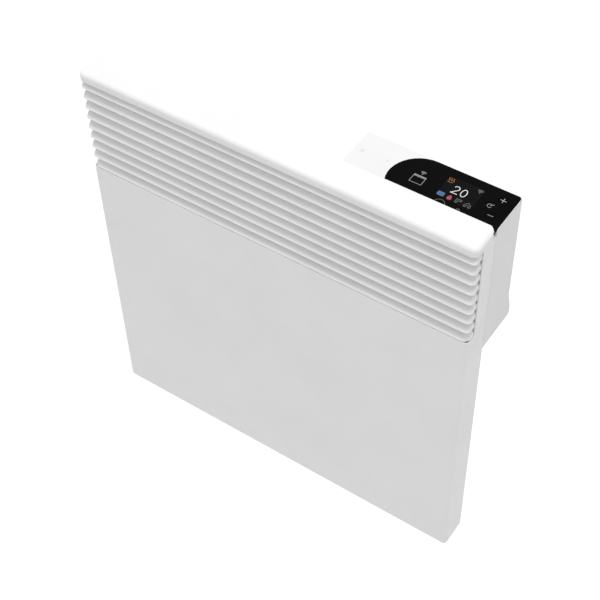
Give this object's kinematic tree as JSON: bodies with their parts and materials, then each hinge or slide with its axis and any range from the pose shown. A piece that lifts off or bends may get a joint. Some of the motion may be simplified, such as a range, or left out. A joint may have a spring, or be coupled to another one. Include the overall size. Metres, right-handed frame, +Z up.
{
  "type": "wall panel convector heater",
  "caption": "Slim wall convector heater with a louvred outlet along its top, a rear control box with display and keys, and a tilt-out wall bracket.",
  "frame": {"origin": "middle of the wall bracket's face against the wall, at half the heater's height", "axes": "+Z up, +Y into the wall, so the front panel faces -Y; +X to the right as seen from the front"},
  "size_m": [0.426, 0.1, 0.45],
  "materials": {
    "powder_white": "fine satin powder coat, white",
    "plastic_white": "fine-grained moulded white plastic",
    "gloss_black": "high gloss black",
    "screen": "dark display window, lit symbols",
    "plastic_black": "matt black moulding",
    "aluminium": "extruded, dull",
    "galvanised": "zinc-plated sheet steel",
    "spring_steel": "bright spring steel",
    "ceramic": "unglazed ceramic",
    "board_green": "circuit board laminate",
    "lead_grey": "silicone-sleeved lead"
  },
  "bodies": {
    "wall_bracket": {"bracket_upright_left": "galvanised", "bracket_upright_right": "galvanised", "bracket_rail": "galvanised", "pivot_rod": "spring_steel", "spring_clip_left": "spring_steel", "spring_clip_right": "spring_steel"},
    "heater": {"front_cover": "powder_white", "louvre_blade_1": "powder_white", "louvre_blade_2": "powder_white", "louvre_blade_3": "powder_white", "louvre_blade_4": "powder_white", "louvre_blade_5": "powder_white", "louvre_blade_6": "powder_white", "louvre_blade_7": "powder_white", "louvre_blade_8": "powder_white", "louvre_blade_9": "powder_white", "louvre_comb_1": "powder_white", "louvre_comb_2": "powder_white", "louvre_comb_3": "powder_white", "louvre_comb_4": "powder_white", "rear_shell": "powder_white", "inlet_grille": "powder_white", "air_deflector": "galvanised", "rear_screw_1": "galvanised", "rear_screw_2": "galvanised", "rear_screw_3": "galvanised", "rear_screw_4": "galvanised", "element_bracket_left": "galvanised", "element_bracket_right": "galvanised", "hinge_hook_left": "galvanised", "hinge_hook_right": "galvanised", "catch_tongue_left": "galvanised", "catch_tongue_right": "galvanised", "transformer": "galvanised", "heating_element": "aluminium", "element_bush_left": "ceramic", "element_bush_right": "ceramic", "element_lead_left": "lead_grey", "element_lead_right": "lead_grey", "control_box": "plastic_white", "control_box_lid": "plastic_white", "terminal_block": "plastic_white", "cable_gland": "plastic_white", "overheat_cutout": "plastic_black", "relay": "plastic_black", "room_sensor": "plastic_black", "switch_housing": "plastic_black", "key_switch_plus": "plastic_black", "key_switch_mode": "plastic_black", "key_switch_minus": "plastic_black", "control_panel": "gloss_black", "display_screen": "screen", "circuit_board": "board_green", "power_board": "board_green"},
    "plus_key": {"key_plus": "gloss_black"},
    "mode_key": {"key_mode": "gloss_black"},
    "minus_key": {"key_minus": "gloss_black"},
    "rocker": {"switch_rocker": "plastic_white"}
  },
  "joints": [
    {"name": "heater_tilt", "type": "hinge", "parent": "wall_bracket", "child": "heater", "pos_m": [0, -0.048, -0.165], "axis": [1, 0, 0], "range_deg": [0, 20]},
    {"name": "plus_key_press", "type": "slide", "parent": "heater", "child": "plus_key", "axis": [0, 0, -1], "range_m": [0, 0.0006], "stiffness_N_per_m": 600, "springref_m": -0.0004},
    {"name": "mode_key_press", "type": "slide", "parent": "heater", "child": "mode_key", "axis": [0, 0, -1], "range_m": [0, 0.0006], "stiffness_N_per_m": 600, "springref_m": -0.0004},
    {"name": "minus_key_press", "type": "slide", "parent": "heater", "child": "minus_key", "axis": [0, 0, -1], "range_m": [0, 0.0006], "stiffness_N_per_m": 600, "springref_m": -0.0004},
    {"name": "mains_rocker", "type": "hinge", "parent": "heater", "child": "rocker", "pos_m": [0.0616, -0.0437, 0.193], "axis": [0, 1, 0], "range_deg": [0, 14]}
  ]
}
